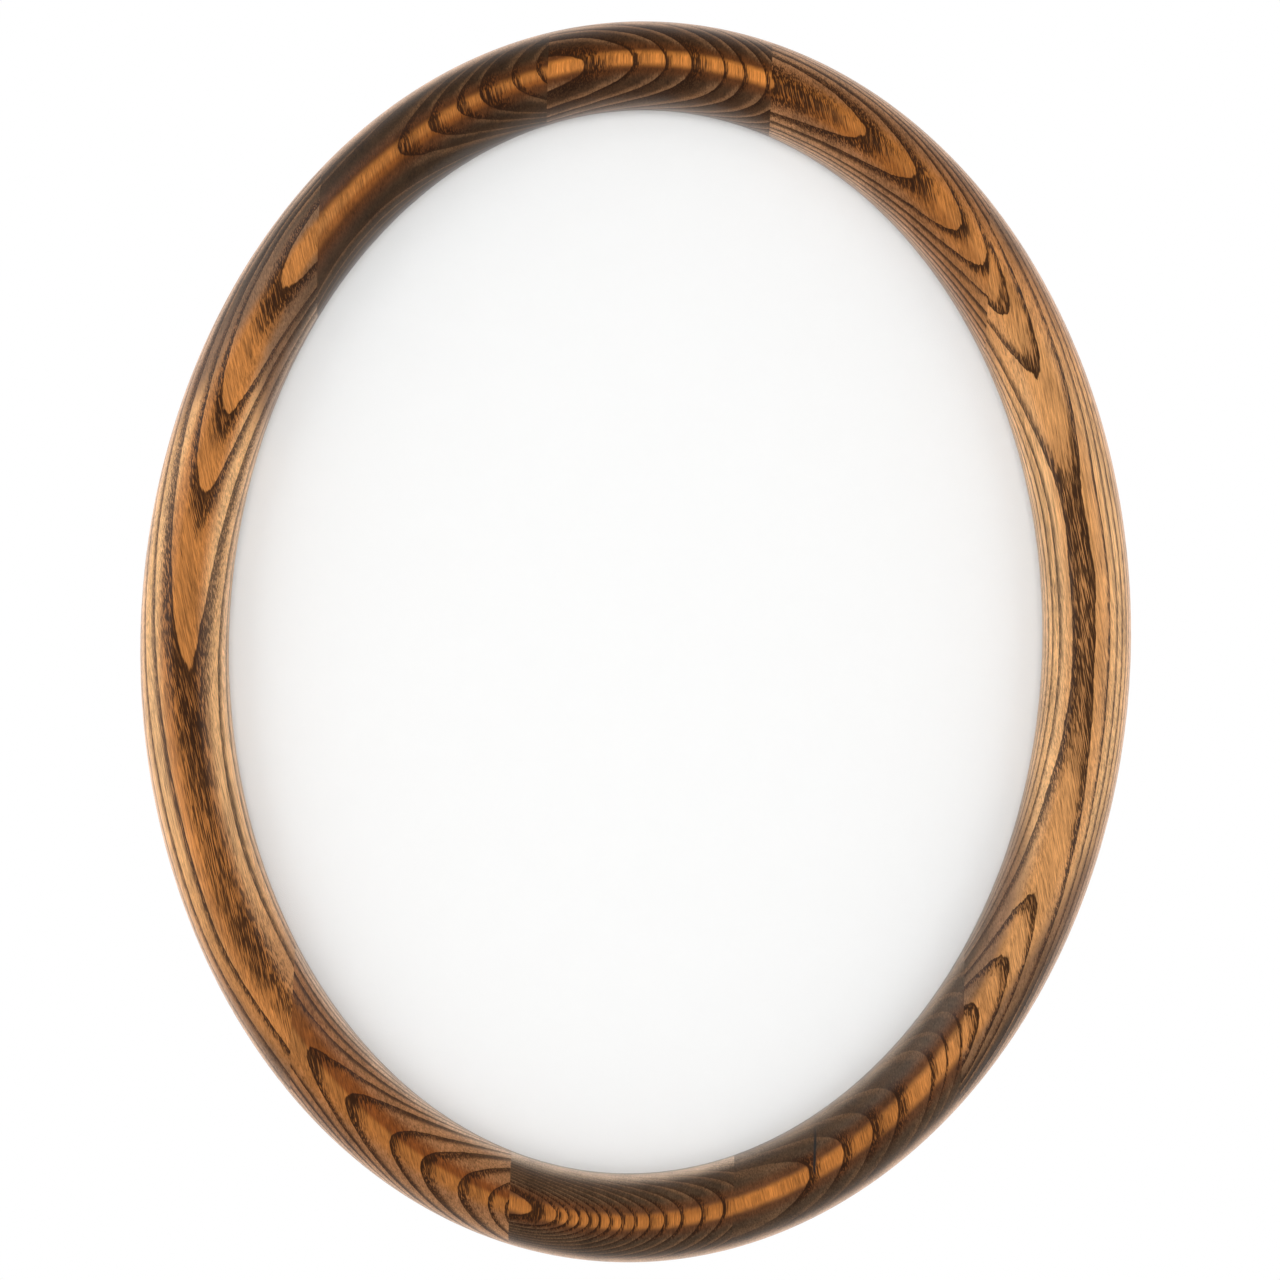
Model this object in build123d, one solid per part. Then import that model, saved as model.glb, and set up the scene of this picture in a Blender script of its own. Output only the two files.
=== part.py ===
from build123d import *
import math
import os

# Oval picture frame, built lying face up on the bench with its centre at the origin:
# X to the right, Y to the top of the picture, Z from the wall towards the viewer.
# hang() then stands each piece upright with the wall nail's place at the origin.

# Picture sheet and its fit in the rebate
PICTURE_WIDTH = 215.9
PICTURE_HEIGHT = 279.4
REBATE_ALLOWANCE = 2.5
LIP_WIDTH = 6.0

# Moulding section
MOULDING_WIDTH = 22.3
MOULDING_DEPTH = 20.5
BACK_EDGE_RADIUS = 1.2
LIP_EDGE_BREAK = 0.5

# Boards of the glued panel that the ring is turned from
BOARD_SHARE = 0.2245
PANEL_OFFSET = 1.2

# Pack that lies in the rebate
GLASS_THICKNESS = 2.0
MOUNT_THICKNESS = 1.5
BACKING_THICKNESS = 3.0
PACK_RECESS = 0.2

# Wall bumpers, which set the gap between the wood and the wall
WALL_GAP = 3.0
BUMPER_RADIUS = 5.0
BUMPER_EDGE_RADIUS = 0.8
BUMPER_ANGLE = 10.0

# Turn buttons and their screws
BUTTON_SIDES = ["right", "upper_right", "upper_left", "left", "lower_left", "lower_right"]
BUTTON_STEP_ANGLE = 60.0
BUTTON_THICKNESS = 1.0
BUTTON_EYE_RADIUS = 4.5
BUTTON_TIP_RADIUS = 3.4
BUTTON_TIP_OFFSET = 16.0
BUTTON_RIB_START = 7.5
BUTTON_RIB_END = 14.5
BUTTON_RIB_WIDTH = 2.4
BUTTON_RIB_HEIGHT = 0.35
BUTTON_PLAY = 0.1
SCREW_SHANK_RADIUS = 1.45
SCREW_SHANK_FIT = 0.07
SCREW_LENGTH = 9.0
SCREW_POINT = 2.5
SCREW_HEAD_RADIUS = 3.0
SCREW_HEAD_HEIGHT = 1.4
SCREW_HEAD_ROUND = 0.8
RECESS_SPAN = 3.2
RECESS_WIDTH = 0.8
RECESS_DEPTH = 0.8

# Sawtooth hanger and its nails
HANGER_LENGTH = 44.0
HANGER_HEIGHT = 9.0
HANGER_MARGIN = 2.25
HANGER_THICKNESS = 0.7
HANGER_TAB = 6.0
HANGER_RAMP = 2.0
HANGER_RISE = 1.7
HANGER_CORNER = 1.8
TOOTH_PITCH = 2.1
TOOTH_DEPTH = 1.5
TOOTH_NOTCHES = 13
NAIL_SHANK_RADIUS = 0.75
NAIL_HOLE_FIT = 0.1
NAIL_LENGTH = 8.0
NAIL_POINT = 1.5
NAIL_HEAD_RADIUS = 1.8
NAIL_HEAD_HEIGHT = 0.6

# Derived sizes
WOOD_BACK = WALL_GAP
WOOD_FRONT = WOOD_BACK + MOULDING_DEPTH
DOME_RADIUS = MOULDING_WIDTH / 2
DOME_BASE = WOOD_FRONT - DOME_RADIUS
REBATE_DEPTH = GLASS_THICKNESS + MOUNT_THICKNESS + BACKING_THICKNESS + PACK_RECESS
LEDGE = WOOD_BACK + REBATE_DEPTH
SIGHT_X = (PICTURE_WIDTH + REBATE_ALLOWANCE) / 2 - LIP_WIDTH
SIGHT_Y = (PICTURE_HEIGHT + REBATE_ALLOWANCE) / 2 - LIP_WIDTH
BOARD_WIDTH = BOARD_SHARE * 2 * (SIGHT_X + MOULDING_WIDTH)
BACK_BAND_MIDDLE = (LIP_WIDTH + MOULDING_WIDTH) / 2
HANGER_BASE = SIGHT_Y + LIP_WIDTH + HANGER_MARGIN
HOOK_HEIGHT = HANGER_BASE + TOOTH_DEPTH


def hang(shape):
    """Stand a piece upright, facing -Y, with the nail's place on the wall at the origin."""
    return Location((0, 0, -HOOK_HEIGHT)) * Rotation(90, 0, 0) * shape


def save(shape, node):
    export_step(hang(shape), f"parts/{node}.step")


def oval_point(angle, offset):
    """Point of the oval that lies the given offset outside the sight edge."""
    turn = math.radians(angle)
    return (SIGHT_X + offset) * math.cos(turn), (SIGHT_Y + offset) * math.sin(turn)


def inward_angle(angle, offset):
    """Direction, in degrees, in which the oval's inward normal points."""
    turn = math.radians(angle)
    normal_x = math.cos(turn) / (SIGHT_X + offset)
    normal_y = math.sin(turn) / (SIGHT_Y + offset)
    return math.degrees(math.atan2(-normal_y, -normal_x))


def back_post(radius, length, point, start):
    """Pointed round post driven from the back towards the front."""
    body = extrude(Plane.XY.offset(start) * Circle(radius), length - point)
    tip = Plane.XY.offset(start + length - point / 2) * Cone(radius, radius / 8, point)
    return body + tip


# Moulding section: flat back, rebate behind the sight lip, half-round face
inner = SIGHT_X
outer = SIGHT_X + MOULDING_WIDTH
rebate = SIGHT_X + LIP_WIDTH
ridge = SIGHT_X + DOME_RADIUS
section_line = Polyline(
    (outer - BACK_EDGE_RADIUS, WOOD_BACK),
    (rebate, WOOD_BACK),
    (rebate, LEDGE),
    (inner + LIP_EDGE_BREAK, LEDGE),
    (inner, LEDGE + LIP_EDGE_BREAK),
    (inner, DOME_BASE),
)
section_line += ThreePointArc((inner, DOME_BASE), (ridge, WOOD_FRONT), (outer, DOME_BASE))
section_line += Line((outer, DOME_BASE), (outer, WOOD_BACK + BACK_EDGE_RADIUS))
section_line += RadiusArc(
    (outer, WOOD_BACK + BACK_EDGE_RADIUS),
    (outer - BACK_EDGE_RADIUS, WOOD_BACK),
    BACK_EDGE_RADIUS,
)
section = make_face(Plane.XZ * section_line)
ridge_path = Edge.make_ellipse(ridge, SIGHT_Y + DOME_RADIUS)
ring = sweep(section, path=ridge_path)

# Screws and nails come before the wood, because their shanks cut its pilot holes
screw_seat = WOOD_BACK - 2 * BUTTON_PLAY - BUTTON_THICKNESS
screw_reach = WOOD_BACK - screw_seat + SCREW_LENGTH
screw_shank = back_post(SCREW_SHANK_RADIUS, screw_reach, SCREW_POINT, screw_seat)
screw_middle = screw_seat - SCREW_HEAD_HEIGHT / 2
screw_head = Plane.XY.offset(screw_middle) * Cylinder(SCREW_HEAD_RADIUS, SCREW_HEAD_HEIGHT)
screw_head = fillet(screw_head.edges().group_by(Axis.Z)[0], SCREW_HEAD_ROUND)
recess_place = Plane.XY.offset(screw_seat - SCREW_HEAD_HEIGHT + RECESS_DEPTH / 2)
recess = recess_place * Box(RECESS_SPAN, RECESS_WIDTH, RECESS_DEPTH)
recess += recess_place * Box(RECESS_WIDTH, RECESS_SPAN, RECESS_DEPTH)
screw = screw_shank + (screw_head - recess)

nail_seat = WOOD_BACK - HANGER_THICKNESS
nail_reach = HANGER_THICKNESS + NAIL_LENGTH
nail_shank = back_post(NAIL_SHANK_RADIUS, nail_reach, NAIL_POINT, nail_seat)
nail_middle = nail_seat - NAIL_HEAD_HEIGHT / 2
nail_head = Plane.XY.offset(nail_middle) * Cylinder(NAIL_HEAD_RADIUS, NAIL_HEAD_HEIGHT)
nail = nail_shank + nail_head

screw_places = {}
for k, side in enumerate(BUTTON_SIDES):
    angle = k * BUTTON_STEP_ANGLE
    spot = oval_point(angle, BACK_BAND_MIDDLE)
    screw_places[side] = Location((*spot, 0), inward_angle(angle, BACK_BAND_MIDDLE))
nail_x = (HANGER_LENGTH - HANGER_TAB) / 2
nail_y = HANGER_BASE + HANGER_HEIGHT / 2
nail_places = [Location((side * nail_x, nail_y, 0)) for side in (-1, 1)]
pilot_holes = [place * screw_shank for place in screw_places.values()]
pilot_holes += [place * nail_shank for place in nail_places]

# Wooden ring, cut on the glue lines into the eight pieces of board
seams = [PANEL_OFFSET + (k - 1.5) * BOARD_WIDTH for k in range(4)]
BIG = 400.0


def board_part(left, right, upper):
    """The ring between two glue lines, in the upper half, the lower half or both."""
    low = 0 if upper is True else -BIG
    high = 0 if upper is False else BIG
    block = Box(right - left, high - low, BIG)
    part = ring & (Location(((left + right) / 2, (low + high) / 2, 0)) * block)
    for hole in pilot_holes:
        spot = hole.center()
        if left < spot.X < right and low < spot.Y < high:
            part -= hole
    return part


segments = {
    "left_segment": (-BIG, seams[0], None),
    "upper_left_segment": (seams[0], seams[1], True),
    "top_segment": (seams[1], seams[2], True),
    "upper_right_segment": (seams[2], seams[3], True),
    "right_segment": (seams[3], BIG, None),
    "lower_right_segment": (seams[2], seams[3], False),
    "bottom_segment": (seams[1], seams[2], False),
    "lower_left_segment": (seams[0], seams[1], False),
}
os.makedirs("parts", exist_ok=True)
for node, (left, right, upper) in segments.items():
    save(board_part(left, right, upper), node)

# Glass, blank mount board and backing, stacked behind the lip
sheet = Ellipse(PICTURE_WIDTH / 2, PICTURE_HEIGHT / 2)
pack = {
    "glass": GLASS_THICKNESS,
    "mount_board": MOUNT_THICKNESS,
    "backing_board": BACKING_THICKNESS,
}
pack_top = LEDGE
for node, thickness in pack.items():
    save(extrude(Plane.XY.offset(pack_top - thickness) * sheet, thickness), node)
    pack_top -= thickness

# Turn buttons: stamped plates with an eye for the screw and a stiffening rib
button_face = WOOD_BACK - BUTTON_PLAY - BUTTON_THICKNESS
eye = Circle(BUTTON_EYE_RADIUS)
tip = Location((BUTTON_TIP_OFFSET, 0)) * Circle(BUTTON_TIP_RADIUS)
outline = make_hull((eye.edges() + tip.edges()))
outline -= Circle(SCREW_SHANK_RADIUS + SCREW_SHANK_FIT)
button = extrude(Plane.XY.offset(button_face) * outline, BUTTON_THICKNESS)
rib_place = Plane.XY.offset(button_face - BUTTON_RIB_HEIGHT)
rib_shape = Location(((BUTTON_RIB_START + BUTTON_RIB_END) / 2, 0)) * SlotOverall(
    BUTTON_RIB_END - BUTTON_RIB_START, BUTTON_RIB_WIDTH
)
button += extrude(rib_place * rib_shape, BUTTON_RIB_HEIGHT)
for name, place in screw_places.items():
    save(place * button, f"turn_button_{name}")
save(Compound(children=[place * screw for place in screw_places.values()]), "button_screws")

# Sawtooth hanger: a strip with two nailed tabs and a raised, toothed bridge
half = HANGER_LENGTH / 2
tab_end = half - HANGER_TAB
bridge_end = tab_end - HANGER_RAMP
tab_low = WOOD_BACK - HANGER_THICKNESS
bridge_high = WOOD_BACK - HANGER_RISE
bridge_low = bridge_high - HANGER_THICKNESS
strip_points = [
    (half, WOOD_BACK),
    (tab_end, WOOD_BACK),
    (bridge_end, bridge_high),
    (-bridge_end, bridge_high),
    (-tab_end, WOOD_BACK),
    (-half, WOOD_BACK),
    (-half, tab_low),
    (-tab_end, tab_low),
    (-bridge_end, bridge_low),
    (bridge_end, bridge_low),
    (tab_end, tab_low),
    (half, tab_low),
]
strip = make_face(Plane.XZ * Polyline(*strip_points, close=True))
hanger = Location((0, HANGER_BASE, 0)) * extrude(strip, -HANGER_HEIGHT)
corner_edges = hanger.edges().filter_by(Axis.Z).filter_by(lambda e: abs(e.center().X) > tab_end)
hanger = fillet(corner_edges, HANGER_CORNER)
notch = make_face(
    Polyline(
        (-TOOTH_PITCH / 2, 0),
        (0, TOOTH_DEPTH),
        (TOOTH_PITCH / 2, 0),
        close=True,
    )
)
for k in range(TOOTH_NOTCHES):
    notch_x = (k - (TOOTH_NOTCHES - 1) / 2) * TOOTH_PITCH
    hanger -= Location((notch_x, HANGER_BASE, 0)) * extrude(notch, WOOD_BACK)
for place in nail_places:
    hanger -= place * Cylinder(NAIL_SHANK_RADIUS + NAIL_HOLE_FIT, BIG)
save(hanger, "sawtooth_hanger")
save(Compound(children=[place * nail for place in nail_places]), "hanger_nails")

# Wall bumpers: round rubber dots stuck to the back of the bottom segment
dot = Location((0, 0, WALL_GAP / 2)) * Cylinder(BUMPER_RADIUS, WALL_GAP)
dot = fillet(dot.edges().group_by(Axis.Z)[0], BUMPER_EDGE_RADIUS)
bumper_places = [
    Location((*oval_point(270 + side * BUMPER_ANGLE, BACK_BAND_MIDDLE), 0)) for side in (-1, 1)
]
save(Compound(children=[place * dot for place in bumper_places]), "wall_bumpers")
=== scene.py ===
import math

import bmesh
import bpy
from mathutils import Matrix, Vector


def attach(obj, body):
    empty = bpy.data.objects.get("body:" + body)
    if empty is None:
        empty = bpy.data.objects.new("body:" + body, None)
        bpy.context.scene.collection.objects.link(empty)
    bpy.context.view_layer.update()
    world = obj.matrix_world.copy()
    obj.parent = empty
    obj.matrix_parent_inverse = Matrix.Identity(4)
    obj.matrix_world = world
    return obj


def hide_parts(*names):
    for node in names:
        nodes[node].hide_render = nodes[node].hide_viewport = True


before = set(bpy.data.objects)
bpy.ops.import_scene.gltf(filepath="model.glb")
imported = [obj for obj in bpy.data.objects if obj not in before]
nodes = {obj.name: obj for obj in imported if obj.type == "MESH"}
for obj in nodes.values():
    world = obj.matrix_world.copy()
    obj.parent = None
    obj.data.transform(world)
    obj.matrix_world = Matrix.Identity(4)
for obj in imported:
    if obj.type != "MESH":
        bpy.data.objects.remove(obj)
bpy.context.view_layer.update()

# Left segment: the outer left board of the turned ring, ring-porous wood with upright grain.
# Sawn, edge-glued to its neighbour, turned to a half-round, stained brown and lacquered satin.
MM = 1000
MOULDING_WIDTH = 22.3


def extent(node, axis):
    """The low and the high end of a CAD part along an axis, in millimetres."""
    ends = [vertex.co[axis] * MM for vertex in nodes[node].data.vertices]
    return min(ends), max(ends)


RING_LEFT = extent("left_segment", 0)[0]
RING_RIGHT = extent("right_segment", 0)[1]
RING_FOOT = extent("bottom_segment", 2)[0]
RING_HEAD = extent("top_segment", 2)[1]
OVAL_CENTRE_Z = (RING_FOOT + RING_HEAD) / 2
RIDGE_X = (RING_RIGHT - RING_LEFT - MOULDING_WIDTH) / 2
RIDGE_Y = extent("top_segment", 1)[0]
RIDGE_Z = (RING_HEAD - RING_FOOT - MOULDING_WIDTH) / 2


def srgb(red, green, blue):
    """A colour as read off a screen, turned into the linear value that a shader takes."""
    shares = [c / 255 for c in (red, green, blue)]
    linear = [s / 12.92 if s <= 0.04045 else ((s + 0.055) / 1.055) ** 2.4 for s in shares]
    return (*linear, 1.0)


def between(a, b, share):
    """The colour that lies a share of the way from one colour to another."""
    return [p + (q - p) * share for p, q in zip(a, b)]


PALE_FACE = srgb(213, 162, 107)
GOLD_FACE = srgb(178, 110, 48)
AMBER_FACE = srgb(112, 55, 13)
RED_SLOPE = srgb(107, 56, 19)
UMBER_SLOPE = srgb(72, 54, 38)
BROWN_SLOPE = srgb(168, 121, 81)
LATE_LINE = srgb(142, 100, 66)
# Painted rim light for the outer rim and the sight edge, standing in for light from the white room behind
PAINTED_RIM_LIGHT = srgb(230, 182, 144)
PAINTED_LIP_LIGHT = srgb(222, 190, 160)
RAW_BACK = srgb(206, 168, 124)
EARLY_WOOD = srgb(112, 60, 20)
PORE = srgb(38, 16, 2)
CHECK_SHADOW = srgb(28, 32, 35)

# Sizes of the wood's figure in mm: twice across the grain, then along it
WANDER_SIZE = (12, 12, 55)
WAVER_SIZE = (2.2, 2.2, 8)
RAGGED_SIZE = (0.4, 0.4, 2.6)
VESSEL_SIZE = (0.24, 0.24, 5)
FIBRE_SIZE = (0.34, 0.34, 9)
PATCH_SIZE = (5, 5, 26)

# Heights over the oval's centre, in mm, between which the wood changes
FOOT_TO_WAIST = (-95, -30)
WAIST_TO_HEAD = (30, 95)
PALE_TO_GOLD = (30, 125)

# Places across the moulding between which the wood changes: 1 is the ridge, less lies inside it
AMBER_TO_GOLD = (0.983, 1.004)
INSIDE_TO_OUTSIDE = (0.95, 1.05)

# Depths below the ridge, in mm, between which the finish changes
FACE_TO_SLOPE = (0.5, 2.5)
SLOPE_TO_RIM = (4.0, 8.5)
RIM_TO_WALL = (9.5, 13.0)
CHECK_END = (6.0, 9.0)
# Shares of painted rim light on the rim and on the upright wall below it
RIM_LIGHT_SHARE = 0.8
WALL_LIGHT_SHARE = 0.2

# How far the rings are carried on past the marked ones, in mm, off the face and down the slopes
RINGS_OFF_FACE = 6
RINGS_DOWN_SLOPE = 24
PORE_DEPTH = 0.015


class Graph:
    """One material's node tree, with short calls for the steps that the finishes need."""

    def __init__(self, name):
        self.material = bpy.data.materials.new(name)
        self.material.use_nodes = True
        self.tree = self.material.node_tree
        self.tree.nodes.clear()

    def add(self, kind, **settings):
        made = self.tree.nodes.new(kind)
        for key, value in settings.items():
            setattr(made, key, value)
        return made

    def put(self, socket, value):
        """Links a socket to another one, or sets it, one number filling all of a vector."""
        if isinstance(value, bpy.types.NodeSocket):
            self.tree.links.new(value, socket)
        elif hasattr(socket.default_value, "__len__") and not hasattr(value, "__len__"):
            socket.default_value = [value] * len(socket.default_value)
        else:
            socket.default_value = value

    def math(self, operation, *values):
        made = self.add("ShaderNodeMath", operation=operation)
        for socket, value in zip(made.inputs, values):
            self.put(socket, value)
        return made.outputs[0]

    def plus(self, a, b):
        return self.math("ADD", a, b)

    def minus(self, a, b):
        return self.math("SUBTRACT", a, b)

    def times(self, a, b):
        return self.math("MULTIPLY", a, b)

    def over(self, a, b):
        return self.math("DIVIDE", a, b)

    def most(self, a, b):
        return self.math("MAXIMUM", a, b)

    def size(self, value):
        return self.math("ABSOLUTE", value)

    def line(self, value, slope, start):
        """A straight line: the value times a slope, from a start."""
        return self.math("MULTIPLY_ADD", value, slope, start)

    def vector(self, operation, *values):
        made = self.add("ShaderNodeVectorMath", operation=operation)
        for socket, value in zip(made.inputs, values):
            self.put(socket, value)
        return made.outputs["Value"] if operation == "DOT_PRODUCT" else made.outputs[0]

    def split(self, point):
        made = self.add("ShaderNodeSeparateXYZ")
        self.put(made.inputs[0], point)
        return made.outputs

    def join(self, *values):
        made = self.add("ShaderNodeCombineXYZ")
        for socket, value in zip(made.inputs, values):
            self.put(socket, value)
        return made.outputs[0]

    def place(self):
        """The point on the piece in millimetres, in the frame's own coordinates."""
        point = self.add("ShaderNodeTexCoord").outputs["Object"]
        return self.vector("MULTIPLY", point, (MM, MM, MM))

    def noise(self, point, size, detail=2.0, rough=0.5, shift=0.0):
        """Cloudy noise whose lumps have the given size along each axis."""
        made = self.add("ShaderNodeTexNoise", noise_dimensions="4D")
        self.put(made.inputs["Vector"], self.vector("MULTIPLY", point, [1 / s for s in size]))
        made.inputs["W"].default_value = shift
        made.inputs["Scale"].default_value = 1.0
        made.inputs["Detail"].default_value = detail
        made.inputs["Roughness"].default_value = rough
        return made.outputs["Fac"]

    def smooth(self, value, low, high, to_low=0.0, to_high=1.0):
        """Eases from one level to another while the value goes from low to high."""
        made = self.add("ShaderNodeMapRange", interpolation_type="SMOOTHSTEP")
        steps = {"Value": value, "From Min": low, "From Max": high, "To Min": to_low, "To Max": to_high}
        for key, number in steps.items():
            self.put(made.inputs[key], number)
        return made.outputs["Result"]

    def ramp(self, factor, blend, places, levels):
        """A level looked up from stops at places between 0 and 1."""
        made = self.add("ShaderNodeValToRGB")
        made.color_ramp.interpolation = blend
        self.put(made.inputs["Fac"], factor)
        stops = made.color_ramp.elements
        for k, place in enumerate(places):
            stop = stops[k] if k < 2 else stops.new(place)
            stop.position = place
        for stop, level in zip(sorted(stops, key=lambda e: e.position), levels):
            stop.color = (level, level, level, 1.0)
        return made.outputs["Color"]

    def mix(self, factor, a, b, blend="MIX"):
        made = self.add("ShaderNodeMix", data_type="RGBA", blend_type=blend)
        self.put(made.inputs["Factor"], factor)
        for socket, value in zip((made.inputs[6], made.inputs[7]), (a, b)):
            self.put(socket, value)
        return made.outputs[2]

    def grey(self, value):
        made = self.add("ShaderNodeCombineColor")
        for socket in made.inputs:
            self.put(socket, value)
        return made.outputs[0]

    def bump(self, height, depth, strength):
        """The normal of a relief whose full height is a depth in millimetres."""
        made = self.add("ShaderNodeBump")
        made.inputs["Distance"].default_value = depth / MM
        made.inputs["Strength"].default_value = strength
        self.put(made.inputs["Height"], height)
        return made.outputs["Normal"]

    def surface(self, colour, rough, normal=None, **constants):
        """Ends the tree in one shader and gives back the material."""
        shader = self.add("ShaderNodeBsdfPrincipled")
        self.put(shader.inputs["Base Color"], colour)
        self.put(shader.inputs["Roughness"], rough)
        if normal is not None:
            self.put(shader.inputs["Normal"], normal)
        for key, value in constants.items():
            shader.inputs[key.replace("_", " ")].default_value = value
        out = self.add("ShaderNodeOutputMaterial")
        self.put(out.inputs["Surface"], shader.outputs[0])
        return self.material


def ring_marks(pith, way, rings, inner, outer):
    """Where the rings start, as distances from the pith, each with its share of early wood."""
    marks = []
    for angle, share in rings:
        clock = math.radians(angle)
        reach = RIDGE_X * math.sin(clock) * way[0] + RIDGE_Z * math.cos(clock) * way[1]
        marks.append((math.hypot(reach - pith[0], pith[1]), share))
    marks.sort()
    pith_in_front = pith[1] > 0
    lowest = marks[0][0] - (RINGS_OFF_FACE if pith_in_front else RINGS_DOWN_SLOPE)
    highest = marks[-1][0] + (RINGS_DOWN_SLOPE if pith_in_front else RINGS_OFF_FACE)
    gaps = list(inner)
    while marks[0][0] > lowest:
        gap, share = gaps[0]
        marks.insert(0, (marks[0][0] - gap, share))
        gaps = gaps[1:] or gaps
    gap, share = outer
    while marks[-1][0] < highest:
        marks.append((marks[-1][0] + gap, share))
    return marks


def board_wood(name, pith, heading, rings, inner, outer, lean, thirst, slope, line, lip, seed,
               shade=1.0, gold=0.0, amber=0.0, blush=1.0, wild=0.5, tilt=0.0, swell=None, check=None):
    """Solid stained ring-porous wood.

    pith is where the rings are centred, in mm: along the heading from the oval's centre, and in
    front of the ridge. heading is the direction, in degrees from level, in which the rings follow
    each other on the face. rings are clock angles on the oval, in degrees from the top, where rings
    start on the ridge, each with the share of its year that is porous early wood. inner and outer
    carry them on, as gaps in mm, each with that share. lean is the fibres' angle from upright to
    the left, and tilt how much they run out to the back. thirst is how readily the cut slopes took
    the stain at the oval's foot, waist and head, slope the colour that they took, and line how dark
    the rings stand out on them. lip is how much painted rim light makes the sight edge pale, shade
    the level of the uncut face, gold how much of the deeper colour its ridge has at the waist, amber
    how dark the face goes just inside the ridge, blush how red the stain's edge is, and wild how far
    the rings wander. swell is a lump that pushes the rings out: its height, its spread and its amount.
    check is a drying crack: its place across the board and the heights of its two ends.
    """
    g = Graph(name)
    point = g.place()
    across, back, up = g.split(point)
    height = g.minus(up, OVAL_CENTRE_Z)
    drop = g.minus(back, RIDGE_Y)
    turn = math.radians(lean)
    grain = g.join(
        g.vector("DOT_PRODUCT", point, (math.cos(turn), 0.0, math.sin(turn))),
        g.minus(back, g.times(up, tilt)),
        g.vector("DOT_PRODUCT", point, (-math.sin(turn), 0.0, math.cos(turn))))

    # Growth rings: distance from the pith, with the wander that a living stem has
    wander = g.noise(grain, WANDER_SIZE, detail=1.0, shift=seed)
    waver = g.noise(grain, WAVER_SIZE, detail=1.0, shift=seed + 3)
    ragged = g.noise(grain, RAGGED_SIZE, detail=1.0, shift=seed + 5)
    push = g.plus(g.line(wander, 1.2, -0.6), g.line(waver, 0.36, -0.18))
    push = g.times(g.plus(push, g.line(ragged, 0.3, -0.15)), wild)
    if swell:
        lump_height, spread, amount = swell
        away = g.size(g.minus(height, lump_height))
        push = g.plus(push, g.smooth(away, 0.0, spread, amount, 0.0))
    way = (math.cos(math.radians(heading)), math.sin(math.radians(heading)))
    side = g.plus(g.line(across, way[0], -pith[0]), g.times(height, way[1]))
    deep = g.plus(drop, pith[1])
    radius = g.math("SQRT", g.plus(g.times(side, side), g.times(deep, deep)))
    radius = g.plus(radius, push)
    marks = ring_marks(pith, way, rings, inner, outer)
    first = marks[0][0]
    span = marks[-1][0] - first
    years = len(marks) - 1
    progress = g.over(g.minus(radius, first), span)
    places = [(mark - first) / span for mark, share in marks]
    count = g.ramp(progress, "LINEAR", places, [k / years for k in range(years + 1)])
    year = g.math("FRACT", g.times(count, years))
    early = g.ramp(progress, "CONSTANT", places, [share for mark, share in marks])

    # Vessels: short dark strokes along the grain, crowded in the early wood that starts each year
    vessel = g.noise(grain, VESSEL_SIZE, detail=1.0, shift=seed + 7)
    fibre = g.noise(grain, FIBRE_SIZE, detail=3.0, rough=0.7, shift=seed + 9)
    patch = g.noise(grain, PATCH_SIZE, detail=2.0, shift=seed + 11)
    edge = g.smooth(year, 0.0, 0.03)
    porous = g.times(g.smooth(g.over(year, early), 0.25, 1.1, 1.0, 0.0), edge)
    crowd = g.plus(vessel, g.line(porous, 0.225, -0.16))
    dark = g.times(g.smooth(crowd, 0.45, 0.55), g.line(porous, 0.5, 0.45))
    border = g.times(g.smooth(year, 0.03, 0.13, 0.85, 0.0), edge)
    dark = g.most(dark, border)
    steep = g.smooth(drop, *FACE_TO_SLOPE)
    stripe = g.smooth(year, 0.2 * line, 0.6 * line, line, 0.0)
    stripe = g.times(stripe, g.times(edge, steep))
    dash = g.smooth(vessel, 0.4, 0.52, max(0.1, 4 * line - 3), 1.0)
    dark = g.most(dark, g.times(stripe, dash))
    dark = g.times(dark, g.line(steep, 0.9 * line - 0.9, 0.98))

    # Stain: end grain drinks more of it, so slopes that cut the fibres are darker
    normal = g.add("ShaderNodeTexCoord").outputs["Normal"]
    cut = g.size(g.vector("DOT_PRODUCT", normal, (-math.sin(turn), tilt, math.cos(turn))))
    foot, waist, head = thirst
    drink = g.smooth(height, *WAIST_TO_HEAD, waist, head)
    drink = g.plus(drink, g.smooth(height, *FOOT_TO_WAIST, foot - waist, 0.0))
    cut = g.plus(g.times(cut, drink), g.line(fibre, 0.2, -0.1))
    soak = g.smooth(cut, 0.09, 0.24)
    drunk = g.smooth(cut, 0.24, 0.48)
    ends = g.smooth(g.size(height), *PALE_TO_GOLD)
    deeper = g.most(ends, g.line(steep, -gold, gold))
    face = g.mix(deeper, [c * shade for c in PALE_FACE], [c * shade for c in GOLD_FACE])
    level = g.over(height, RIDGE_Z)
    breadth = g.over(across, RIDGE_X)
    oval = g.plus(g.times(level, level), g.times(breadth, breadth))
    face = g.mix(g.times(g.smooth(oval, *AMBER_TO_GOLD, amber, 0.0), ends), face, AMBER_FACE)
    verge = between(BROWN_SLOPE, RED_SLOPE, blush)
    colour = g.mix(soak, face, between(verge, slope, 0.5))
    colour = g.mix(drunk, colour, slope)
    colour = g.mix(g.times(porous, g.line(drunk, -0.4, 0.45)), colour, EARLY_WOOD)
    late = g.times(g.smooth(year, 0.6, 0.95), drunk)
    colour = g.mix(g.times(late, 0.2 + 0.5 * line), colour, LATE_LINE)
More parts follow.
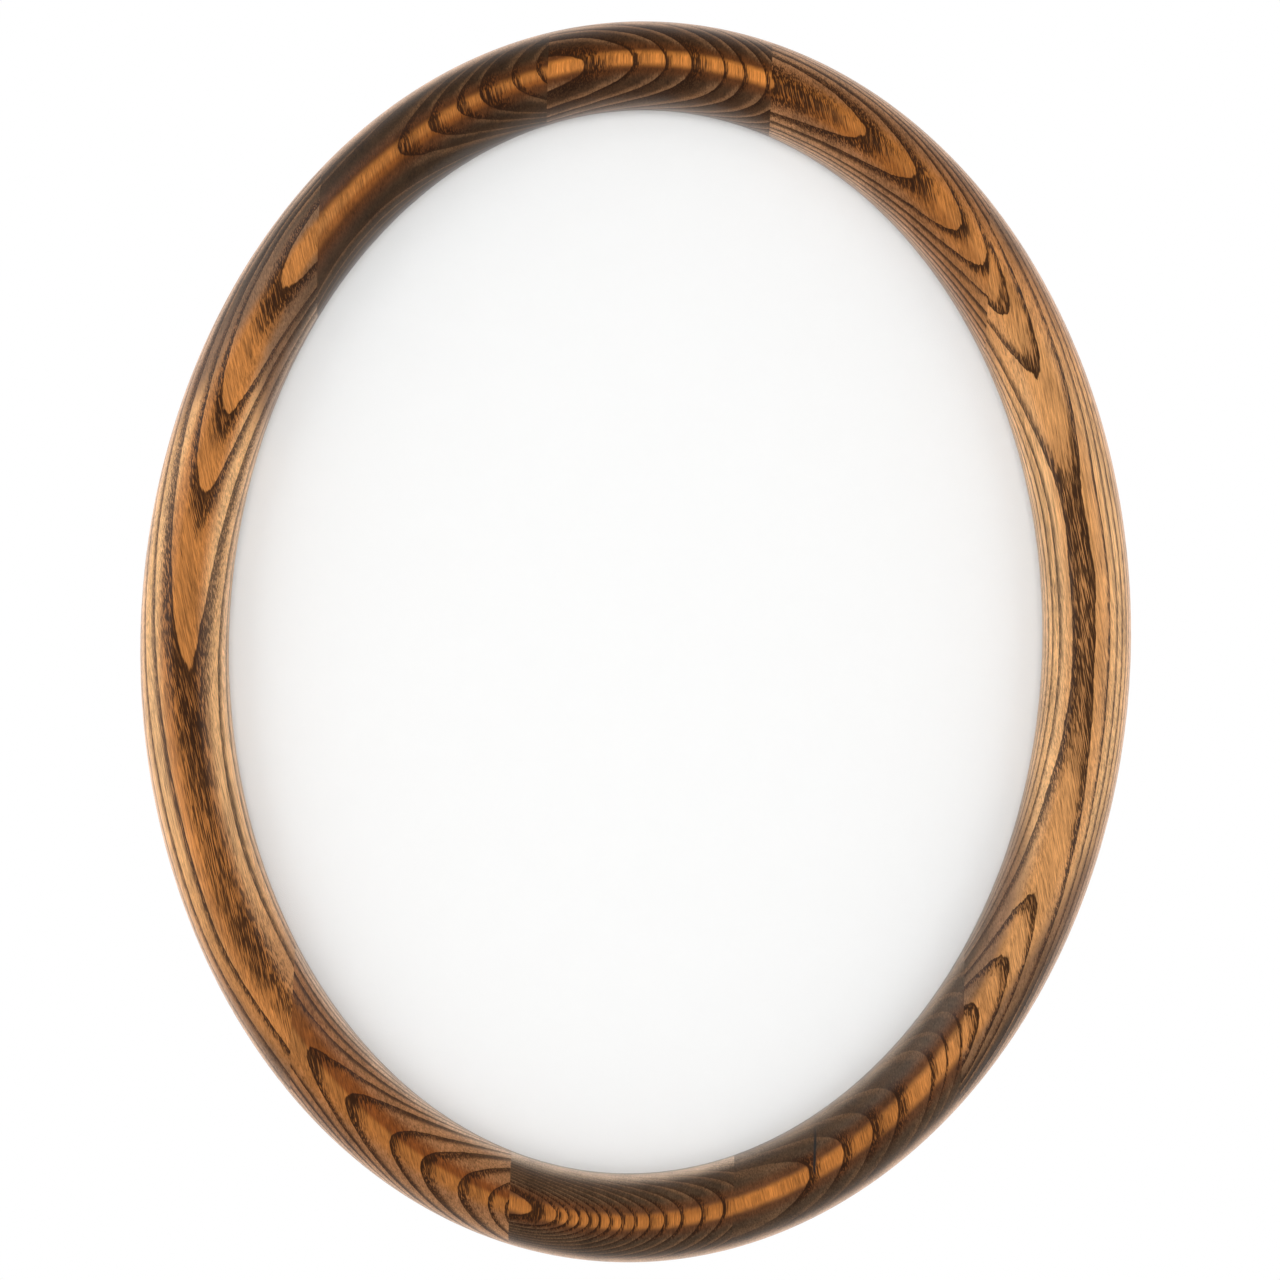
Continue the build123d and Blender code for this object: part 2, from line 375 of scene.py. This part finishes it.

    # Painted rim light: lip and outer rim painted pale as if lit from behind; the flat back was never
    # stained
    outside = g.smooth(oval, *INSIDE_TO_OUTSIDE)
    painted_rim = g.times(g.smooth(drop, *SLOPE_TO_RIM), g.line(outside, RIM_LIGHT_SHARE - lip, lip))
    painted_rim = g.times(painted_rim, g.smooth(drop, *RIM_TO_WALL, 1.0, WALL_LIGHT_SHARE))
    colour = g.mix(painted_rim, colour, g.mix(outside, PAINTED_LIP_LIGHT, PAINTED_RIM_LIGHT))
    dark = g.times(dark, g.line(painted_rim, -0.5, 1.0))
    raw = g.smooth(g.split(normal)[1], 0.8, 0.95)
    colour = g.mix(raw, colour, RAW_BACK)
    dark = g.times(dark, g.line(raw, -0.55, 1.0))
    tone = g.most(g.plus(g.line(fibre, 3.0, -1.0), patch), 0.3)
    colour = g.mix(1.0, colour, g.grey(tone), "MULTIPLY")
    colour = g.mix(dark, colour, PORE)
    if check:
        crack_across, low, high = check
        crack = g.size(g.plus(g.minus(across, crack_across), push))
        crack = g.times(g.smooth(crack, 0.15, 0.5, 1.0, 0.0), g.smooth(drop, *CHECK_END, 1.0, 0.0))
        crack = g.times(crack, g.smooth(height, low - 1, low + 1))
        crack = g.times(crack, g.smooth(height, high - 3, high + 1, 1.0, 0.0))
        colour = g.mix(g.times(crack, 0.9), colour, CHECK_SHADOW)
        dark = g.most(dark, crack)

    # Lacquer: satin over the face, dull in the open pores and on the bare back
    rough = g.plus(g.line(dark, 0.18, 0.42), g.times(raw, 0.35))
    relief = g.minus(g.times(fibre, 0.25), dark)
    return g.surface(
        colour, rough, g.bump(relief, PORE_DEPTH, 0.6), Coat_Weight=0.46, Coat_Roughness=0.3,
        Specular_IOR_Level=0.2, Specular_Tint=(1.0, 0.82, 0.64, 1.0))


def dress(node, material):
    """Puts a finish on a CAD part in place of the plain one that it came with."""
    piece = nodes[node]
    piece.data.materials.clear()
    piece.data.materials.append(material)


dress("left_segment", board_wood(
    "left_wood", pith=(-23, 500), heading=18,
    rings=((306.3, 0.55), (292.2, 0.65), (284.3, 0.45), (268, 0.8)),
    inner=((3, 0.4),), outer=(3.2, 0.4), swell=(-120, 45, 3.2),
    lean=14, thirst=(0.75, 0.15, 0.95), slope=UMBER_SLOPE, line=0.85, lip=0.35, gold=0.9, blush=0.2,
    seed=1.0))

# Upper left segment: the second board's upper end, cut across its grain, so its slopes drank
# more stain. Nested ring arcs cross the ridge, each dark and porous on its upper side.
dress("upper_left_segment", board_wood(
    "upper_left_wood", pith=(2, -150), heading=37,
    rings=((325.6, 0.6), (330.5, 0.6), (334.7, 0.6), (337.5, 0.8), (342, 0.4), (345.3, 0.5)),
    inner=((4, 0.3), (1.8, 0.3)), outer=(1.8, 0.3),
    lean=14, thirst=(1.0, 1.0, 1.0), slope=srgb(58, 41, 26), line=0.2, lip=0.0, shade=0.9, amber=0.65,
    seed=2.0))

# Top segment: the middle board's upper end, square across the grain, with arcs that open to the
# left glue line. Its fibres run out a little to the back, so the lit strip sits above the ridge.
dress("top_segment", board_wood(
    "top_wood", pith=(-33, 100), heading=0,
    rings=((-9.4, 0.75), (-2.8, 0.3), (1.3, 0.3), (4.5, 0.65), (8.7, 0.3), (11.3, 0.3), (14.2, 0.5)),
    inner=((5, 0.3),), outer=(2, 0.4), tilt=0.08,
    lean=0, thirst=(1.0, 1.0, 1.0), slope=srgb(70, 46, 27), line=0.8, lip=0.12, shade=1.2, amber=0.3,
    seed=3.0))

# Upper right segment: the fourth board's upper end. The cut runs nearly along the fibres here,
# so long ring loops follow the moulding and the slopes stay a middling brown.
dress("upper_right_segment", board_wood(
    "upper_right_wood", pith=(-148.7, 1200), heading=-38,
    rings=((15.2, 0.95), (27.8, 0.85), (35.5, 0.6), (42.9, 0.5), (47.5, 0.5)),
    inner=((3, 0.3),), outer=(1.4, 0.3),
    lean=14, thirst=(0.7, 0.7, 0.7), slope=BROWN_SLOPE, line=0.95, lip=0.35, shade=0.96, amber=0.4,
    seed=4.0))

# Right segment: the outer right board, its grain along the moulding, so it is the palest. Ring
# tips point at each other from above and below a long dark lens of early wood on the ridge.
dress("right_segment", board_wood(
    "right_wood", pith=(171, -400), heading=2,
    rings=((60, 0.5), (53, 0.5), (47, 0.4)),
    inner=((2.3, 0.45), (1.6, 0.35)), outer=(2, 0.3), swell=(43, 25, -0.45),
    lean=12, thirst=(0.95, 0.4, 0.7), slope=UMBER_SLOPE, line=0.85, lip=0.25, gold=0.5, blush=0.2,
    seed=5.0))

# Lower right segment: the fourth board's lower end, with the darkest slopes. A drying check runs
# along the grain from the ridge into the inner slope.
dress("lower_right_segment", board_wood(
    "lower_right_wood", pith=(18, 75), heading=3,
    rings=((136.9, 0.5), (142.3, 0.45), (146.2, 0.6), (150.4, 0.5), (155.3, 0.45)),
    inner=((6, 0.2),), outer=(2.2, 0.3), check=(49.4, -132.0, -121.0),
    lean=14, thirst=(1.0, 1.0, 1.0), slope=UMBER_SLOPE, line=0.08, lip=0.28,
    seed=6.0))

# Bottom segment: the middle board's lower end, slow-grown, with fine close rings on its ridge
# that end in a golden flame at the left glue line.
dress("bottom_segment", board_wood(
    "bottom_wood", pith=(-34, 140), heading=0,
    rings=((166.5, 0.4), (169.2, 0.4), (171.8, 0.4), (174, 0.45), (175.8, 0.45), (177.6, 0.5),
           (179.3, 0.55), (180.8, 0.6), (182.2, 0.6), (183.5, 0.6), (184.8, 0.6), (186.2, 0.7),
           (187.6, 0.8), (190.5, 0.95)),
    inner=((5, 0.3),), outer=(2, 0.3), wild=0.2,
    lean=0, thirst=(1.0, 1.0, 1.0), slope=UMBER_SLOPE, line=0.3, lip=0.75, shade=0.94, amber=0.25,
    seed=7.0))

# Lower left segment: the second board's lower end, cut nearly along the fibres, with strong ring
# lines that sweep along both slopes.
dress("lower_left_segment", board_wood(
    "lower_left_wood", pith=(-25, -190), heading=-31,
    rings=((196.2, 0.5), (200.4, 0.55), (205.5, 0.55), (210.1, 0.5), (217.1, 0.5), (224.8, 0.55)),
    inner=((1.8, 0.3),), outer=(1.6, 0.3),
    lean=14, thirst=(0.7, 0.7, 0.7), slope=BROWN_SLOPE, line=0.95, lip=0.7, shade=0.77, amber=0.9,
    seed=8.0))

# Glass: a clear oval pane of float glass, cut and its edge ground, resting on the lip of the
# rebate. The bare pane reflects a little of the room.
GLASS_FRONT, GLASS_BACK = extent("glass", 1)
GLASS_EDGE = 0.3
RIM_STEPS = 192


def oval_plate(name, node, front, back, edge):
    """A flat oval plate with eased edges, as wide and high as a CAD part, between two depths."""
    left, right = extent(node, 0)
    foot, head = extent(node, 2)
    shape = bmesh.new()
    bmesh.ops.create_circle(shape, cap_ends=True, radius=0.5, segments=RIM_STEPS)
    bmesh.ops.scale(shape, verts=shape.verts, vec=((right - left) / MM, (head - foot) / MM, 1))
    bmesh.ops.rotate(shape, verts=shape.verts, matrix=Matrix.Rotation(math.radians(90), 3, "X"))
    bmesh.ops.translate(shape, verts=shape.verts, vec=(0, front / MM, OVAL_CENTRE_Z / MM))
    grown = bmesh.ops.extrude_face_region(shape, geom=shape.faces[:])["geom"]
    moved = [item for item in grown if isinstance(item, bmesh.types.BMVert)]
    bmesh.ops.translate(shape, verts=moved, vec=(0, (back - front) / MM, 0))
    bmesh.ops.recalc_face_normals(shape, faces=shape.faces)
    rims = [e for e in shape.edges if abs(e.verts[0].co.y - e.verts[1].co.y) < 1e-7]
    bmesh.ops.bevel(
        shape, geom=rims, offset=edge / MM, affect="EDGES", segments=2, profile=0.5, material=-1)
    mesh = bpy.data.meshes.new(name)
    shape.to_mesh(mesh)
    shape.free()
    piece = bpy.data.objects.new(name, mesh)
    bpy.context.scene.collection.objects.link(piece)
    return piece


g = Graph("clear_glass")
smear = g.noise(g.place(), (30, 30, 30), detail=3.0, shift=20.0)
clear_glass = g.surface((0.97, 0.99, 0.98, 1.0), g.line(smear, 0.03, 0.01), Alpha=0.05, IOR=1.5)
pane = oval_plate("glass_pane", "glass", GLASS_FRONT, GLASS_BACK, GLASS_EDGE)
pane.data.materials.append(clear_glass)
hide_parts("glass")
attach(pane, "frame")

# Mount board: blank white card behind the glass, the bare place for a picture, cut to the same
# oval and held against the pane by the backing.
CARD_GAP = 0.06
CARD_BACK_GAP = 0.02
CARD_EDGE = 0.1
CARD_BACK = extent("mount_board", 1)[1]
g = Graph("mount_card")
pulp = g.noise(g.place(), (0.5, 0.5, 0.5), detail=3.0, shift=21.0)
paper = g.mix(pulp, (0.92, 0.92, 0.918, 1), (0.94, 0.94, 0.938, 1))
card_white = g.surface(paper, 0.9, g.bump(pulp, 0.01, 0.2), Specular_IOR_Level=0.2)
card = oval_plate("mount_card", "mount_board", GLASS_BACK + CARD_GAP, CARD_BACK - CARD_BACK_GAP, CARD_EDGE)
card.data.materials.append(card_white)
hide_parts("mount_board")
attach(card, "frame")

# Backing board: brown hardboard, pressed from wood fibre on a wire mesh that printed its rear face,
# cut to the same oval and held in the rebate by the turn buttons.
MESH_PITCH = 1.3
MESH_DEPTH = 0.15
HARDBOARD_DARK = srgb(78, 50, 31)
HARDBOARD_LIGHT = srgb(158, 114, 76)
g = Graph("hardboard")
point = g.place()
across, back, up = g.split(point)
wires = [g.math("SINE", g.times(way, 2 * math.pi / MESH_PITCH)) for way in (across, up)]
weave = g.times(*wires)
chips = g.noise(point, (0.5, 0.5, 0.5), detail=4.0, rough=0.7, shift=22.0)
strands = g.noise(point, (3.0, 3.0, 0.6), detail=3.0, rough=0.6, shift=26.0)
cloud = g.noise(point, (45, 45, 45), detail=2.0, shift=27.0)
tone = g.plus(g.times(chips, 0.5), g.times(strands, 0.3))
tone = g.plus(tone, g.times(cloud, 0.2))
tone = g.plus(tone, g.times(weave, 0.16))
relief = g.plus(g.times(chips, 0.6), g.times(weave, 0.5))
board = g.mix(g.smooth(tone, 0.25, 0.75), HARDBOARD_DARK, HARDBOARD_LIGHT)
dress("backing_board", g.surface(board, 0.8, g.bump(relief, MESH_DEPTH, 0.8), Specular_IOR_Level=0.25))

# Turn buttons: steel plates stamped with a finger rib and brass plated, each swivelling on its own
# screw to hold the pack in. Tumbling left fine scratches, and the plating has begun to tarnish.
SCRATCH_DEPTH = 0.02
BRASS_DARK = srgb(160, 122, 62)
BRASS_LIGHT = srgb(206, 168, 100)
BRASS_TARNISH = srgb(120, 86, 44)
g = Graph("button_brass")
point = g.place()
scuff = g.noise(point, (0.12, 0.5, 1.6), detail=4.0, rough=0.7, shift=23.0)
stain = g.noise(point, (5, 5, 5), detail=4.0, rough=0.65, shift=28.0)
colour = g.mix(scuff, BRASS_DARK, BRASS_LIGHT)
colour = g.mix(g.smooth(stain, 0.45, 0.75, 0.0, 0.5), colour, BRASS_TARNISH)
rough = g.plus(g.line(scuff, 0.3, 0.15), g.smooth(stain, 0.45, 0.7, 0.0, 0.2))
brass = g.surface(colour, rough, g.bump(scuff, SCRATCH_DEPTH, 0.6), Metallic=1.0)
for side in ("right", "upper_right", "upper_left", "left", "lower_left", "lower_right"):
    dress("turn_button_" + side, brass)

# Button screws: short steel wood screws with pan heads and a cross recess, cold headed and zinc
# plated, driven through the buttons into the wood's back.
ZINC_DARK = srgb(128, 129, 132)
ZINC_LIGHT = srgb(186, 188, 192)
ZINC_DULL = srgb(104, 103, 100)
g = Graph("screw_zinc")
point = g.place()
scuff = g.noise(point, (0.3, 0.3, 0.3), detail=4.0, rough=0.7, shift=24.0)
dull = g.noise(point, (2.5, 2.5, 2.5), detail=3.0, shift=29.0)
colour = g.mix(scuff, ZINC_DARK, ZINC_LIGHT)
colour = g.mix(g.smooth(dull, 0.45, 0.7, 0.0, 0.6), colour, ZINC_DULL)
zinc = g.surface(colour, g.line(scuff, 0.3, 0.2), g.bump(scuff, SCRATCH_DEPTH, 0.6), Metallic=1.0)
dress("button_screws", zinc)

# Sawtooth hanger: a strip of brass-plated steel, stamped and bent to a raised bridge with a
# toothed lower edge, nailed to the back of the top segment.
dress("sawtooth_hanger", brass)

# Hanger nails: short zinc-plated wire nails with flat heads, driven through the hanger's two tabs
# into the wood.
dress("hanger_nails", zinc)

# Wall bumpers: two moulded dots of soft black rubber, stuck to the back low down, which keep the
# frame off the wall. Handling has left a little dust on them.
GRIT_DEPTH = 0.04
RUBBER_DARK = srgb(30, 30, 31)
RUBBER_LIGHT = srgb(50, 50, 51)
RUBBER_DUST = srgb(128, 124, 118)
g = Graph("bumper_rubber")
point = g.place()
grit = g.noise(point, (0.2, 0.2, 0.2), detail=3.0, shift=25.0)
dust = g.noise(point, (2.5, 2.5, 2.5), detail=4.0, rough=0.65, shift=31.0)
colour = g.mix(grit, RUBBER_DARK, RUBBER_LIGHT)
colour = g.mix(g.smooth(dust, 0.5, 0.75, 0.0, 0.35), colour, RUBBER_DUST)
dress("wall_bumpers", g.surface(colour, g.line(dust, 0.3, 0.5), g.bump(grit, GRIT_DEPTH, 0.6)))

# Surroundings: a white studio, open behind the frame and dim in front of it. It is plain white to
# the camera and through the glass, and its light comes round the frame from behind.
ROOM_FRONT = 0.2
WHITE = 1.0
bpy.context.scene.view_settings.view_transform = "Standard"
world = bpy.data.worlds.new("studio")
bpy.context.scene.world = world
world.use_nodes = True
tree = world.node_tree
tree.nodes.clear()
path = tree.nodes.new("ShaderNodeLightPath")
direction = tree.nodes.new("ShaderNodeTexCoord")
axes = tree.nodes.new("ShaderNodeSeparateXYZ")
tree.links.new(direction.outputs["Generated"], axes.inputs[0])


def by_depth(front, back, start, end):
    """A level that goes from one value in front of the frame to another behind it."""
    made = tree.nodes.new("ShaderNodeMapRange")
    made.interpolation_type = "SMOOTHSTEP"
    tree.links.new(axes.outputs["Y"], made.inputs["Value"])
    for key, value in (("From Min", start), ("From Max", end), ("To Min", front), ("To Max", back)):
        made.inputs[key].default_value = value
    return made.outputs["Result"]


def choose(factor, a, b):
    """The first level where the factor is 0, and the second where it is 1."""
    made = tree.nodes.new("ShaderNodeMix")
    tree.links.new(factor, made.inputs["Factor"])
    tree.links.new(a, made.inputs["A"])
    tree.links.new(b, made.inputs["B"])
    return made.outputs["Result"]


white = tree.nodes.new("ShaderNodeValue").outputs[0]
white.default_value = WHITE
seen = tree.nodes.new("ShaderNodeMath")
seen.operation = "MAXIMUM"
tree.links.new(path.outputs["Is Camera Ray"], seen.inputs[0])
tree.links.new(path.outputs["Is Transmission Ray"], seen.inputs[1])
room = by_depth(ROOM_FRONT, WHITE, -0.45, 0.25)
mirrored = by_depth(0.0, WHITE, -0.3, 0.5)
level = choose(path.outputs["Is Glossy Ray"], room, mirrored)
level = choose(seen.outputs[0], level, white)
glow = tree.nodes.new("ShaderNodeBackground")
glow.inputs["Color"].default_value = (1, 1, 1, 1)
tree.links.new(level, glow.inputs["Strength"])
out = tree.nodes.new("ShaderNodeOutputWorld")
tree.links.new(glow.outputs[0], out.inputs["Surface"])

# Lamps: two large soft boxes, one at each side of the frame, and a smaller one in front, above the
# camera, which the lacquer and the glass don't mirror.
SIDE_BOX = (1.8, 1.6)
FRONT_BOX = (1.2, 0.8)
FRAME_MIDDLE = Vector((0, RIDGE_Y / 2 / MM, OVAL_CENTRE_Z / MM))


def soft_box(name, place, size, power):
    """A rectangular area lamp that is turned to the middle of the frame."""
    light = bpy.data.lights.new(name, "AREA")
    light.shape = "RECTANGLE"
    light.size, light.size_y = size
    light.energy = power
    made = bpy.data.objects.new(name, light)
    made.location = place
    made.rotation_euler = (FRAME_MIDDLE - Vector(place)).to_track_quat("-Z", "Y").to_euler()
    bpy.context.scene.collection.objects.link(made)
    return made


soft_box("left_lamp", place=(-1.35, -0.6, 0.1), size=SIDE_BOX, power=14.5)
soft_box("right_lamp", place=(1.35, -0.6, 0.0), size=SIDE_BOX, power=11.5)
front_lamp = soft_box("front_lamp", place=(0.0, -2.2, 0.25), size=FRONT_BOX, power=17.2)
front_lamp.visible_glossy = False

# Floor: a round of pale paper below the hanging frame, with a faint speckle. It takes the soft
# shadow and stays out of the lacquer's reflections.
FLOOR_Z = -0.42
FLOOR_RADIUS = 1.05
floor_mesh = bpy.data.meshes.new("floor")
shape = bmesh.new()
bmesh.ops.create_circle(shape, cap_ends=True, radius=FLOOR_RADIUS, segments=96)
shape.to_mesh(floor_mesh)
shape.free()
floor = bpy.data.objects.new("floor", floor_mesh)
floor.location = (0, 0, FLOOR_Z)
bpy.context.scene.collection.objects.link(floor)
g = Graph("floor_paper")
speck = g.noise(g.place(), (3, 3, 3), detail=2.0, shift=30.0)
floor_mesh.materials.append(g.surface(g.mix(speck, (0.86, 0.86, 0.86, 1), (0.9, 0.9, 0.9, 1)), 0.9))
floor.visible_glossy = False

# Camera: square to the frame and level with its middle, a long way off, rolled a little, as the
# frame hangs a little askew in the picture. Lengths are in mm, and the scale in mm for each pixel.
PICTURE_SCALE = 0.2535
PICTURE_SIDE = 1280
DISTANCE = 1600.0
HALF_DEPTH = 12.0
AIM_X = 1.08
AIM_Z = 0.5
ROLL = 1.95
SENSOR = 36
camera = bpy.data.cameras.new("camera")
camera.sensor_width = SENSOR
camera.lens = SENSOR * DISTANCE / (PICTURE_SIDE * PICTURE_SCALE)
camera.clip_end = 20
holder = bpy.data.objects.new("camera", camera)
bpy.context.scene.collection.objects.link(holder)
stand = Vector((AIM_X, -DISTANCE - HALF_DEPTH, OVAL_CENTRE_Z + AIM_Z)) / MM
holder.matrix_world = (
    Matrix.Translation(stand)
    @ Matrix.Rotation(math.radians(90), 4, "X")
    @ Matrix.Rotation(math.radians(ROLL), 4, "Z")
)
bpy.context.scene.camera = holder
